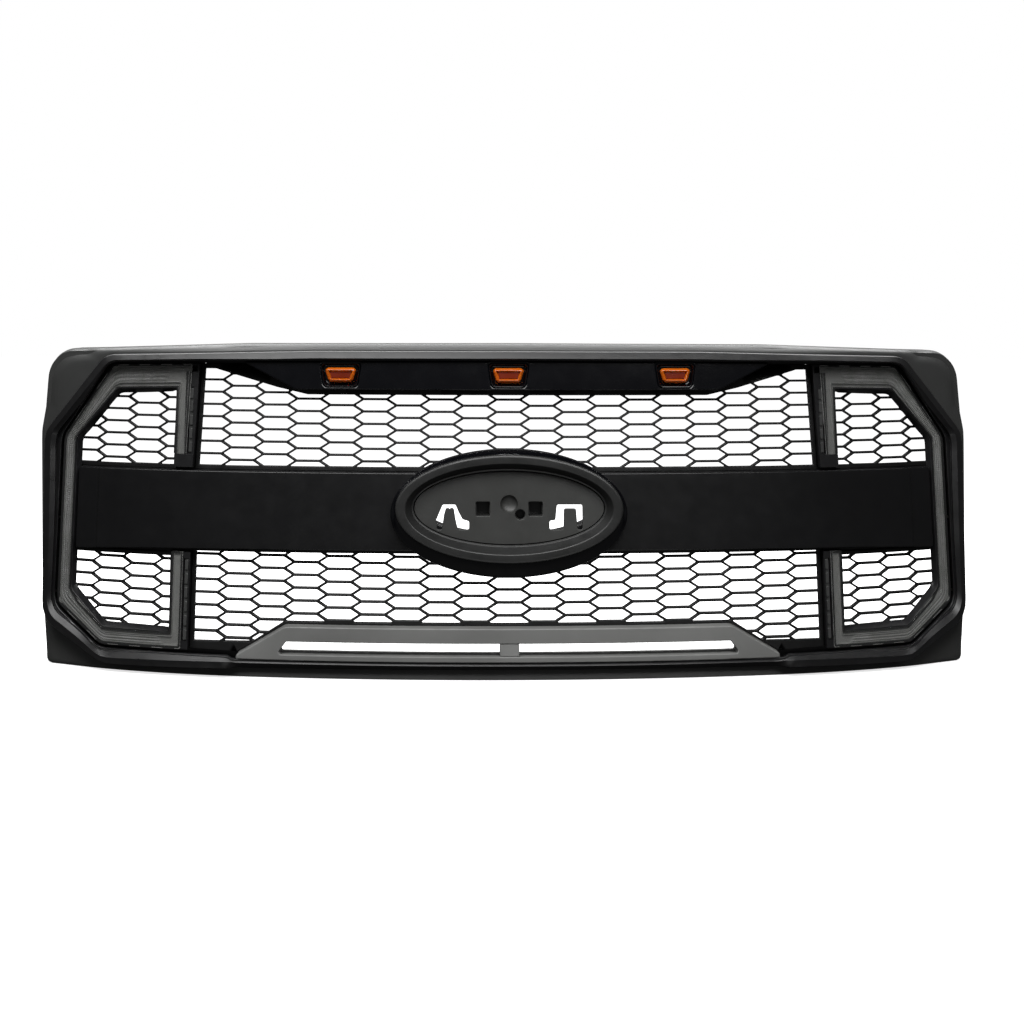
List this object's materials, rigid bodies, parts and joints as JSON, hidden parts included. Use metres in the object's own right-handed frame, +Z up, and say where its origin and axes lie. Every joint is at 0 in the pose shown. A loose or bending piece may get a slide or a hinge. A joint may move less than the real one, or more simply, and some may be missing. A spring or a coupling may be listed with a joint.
{
  "type": "front grille",
  "caption": "Vehicle front grille: framed honeycomb mesh, crossbar with oval emblem recess, side running lamps and amber markers.",
  "frame": {"origin": "bottom middle of the grille's box: X at mid width, Y at mid depth, Z on the bottom edge", "axes": "+X to the right seen from the front, -Y out of the front face, +Z up; the front leans back 17.2 degrees"},
  "size_m": [1.224, 0.3061, 0.405],
  "materials": {
    "shell_satin": "satin black moulded plastic, fine grain",
    "frame_matte": "matt black moulded plastic",
    "rim_satin": "semi-gloss black",
    "gloss_black": "gloss black paint",
    "valance_satin": "satin black",
    "divider_grey": "satin grey",
    "plate_satin": "satin dark grey",
    "mesh_black": "semi-gloss black",
    "lamp_black": "satin black",
    "smoked_lens": "smoked clear, polished",
    "light_guide": "milky clear, dotted",
    "board_white": "white solder mask",
    "chip_yellow": "yellow phosphor",
    "strip_grey": "satin dark grey",
    "socket_black": "matt black",
    "amber_lens": "amber, polished",
    "board_green": "green solder mask",
    "bracket_steel": "black e-coat",
    "screw_steel": "zinc plated",
    "rubber": "matt"
  },
  "bodies": {
    "root": {"outer_shell": "shell_satin", "inner_frame": "frame_matte", "rim_moulding": "rim_satin", "brow_panel": "gloss_black", "lower_valance": "valance_satin", "slot_divider": "divider_grey", "crossbar": "gloss_black", "crossbar_beam": "frame_matte", "emblem_collar": "gloss_black", "emblem_bezel": "gloss_black", "emblem_plate": "plate_satin", "mesh_upper": "mesh_black", "mesh_lower": "mesh_black", "mesh_corner_upper_left": "mesh_black", "mesh_corner_upper_right": "mesh_black", "mesh_corner_lower_left": "mesh_black", "mesh_corner_lower_right": "mesh_black", "lamp_housing_left": "lamp_black", "lamp_housing_right": "lamp_black", "lamp_lens_left": "smoked_lens", "lamp_lens_right": "smoked_lens", "light_guide_left": "light_guide", "light_guide_right": "light_guide", "lamp_board_left": "board_white", "lamp_board_right": "board_white", "lamp_chips_left": "chip_yellow", "lamp_chips_right": "chip_yellow", "post_strip_left": "strip_grey", "post_strip_right": "strip_grey", "post_cap_left": "lamp_black", "post_cap_right": "lamp_black", "lamp_socket_left": "socket_black", "lamp_socket_right": "socket_black", "marker_housing_left": "lamp_black", "marker_housing_middle": "lamp_black", "marker_housing_right": "lamp_black", "marker_lens_left": "amber_lens", "marker_lens_middle": "amber_lens", "marker_lens_right": "amber_lens", "marker_board_left": "board_green", "marker_board_middle": "board_green", "marker_board_right": "board_green", "bracket_outer_left": "bracket_steel", "bracket_inner_left": "bracket_steel", "bracket_inner_right": "bracket_steel", "bracket_outer_right": "bracket_steel", "frame_screws": "screw_steel", "beam_screws": "screw_steel", "bracket_screws": "screw_steel", "bump_stops": "rubber"}
  },
  "joints": []
}
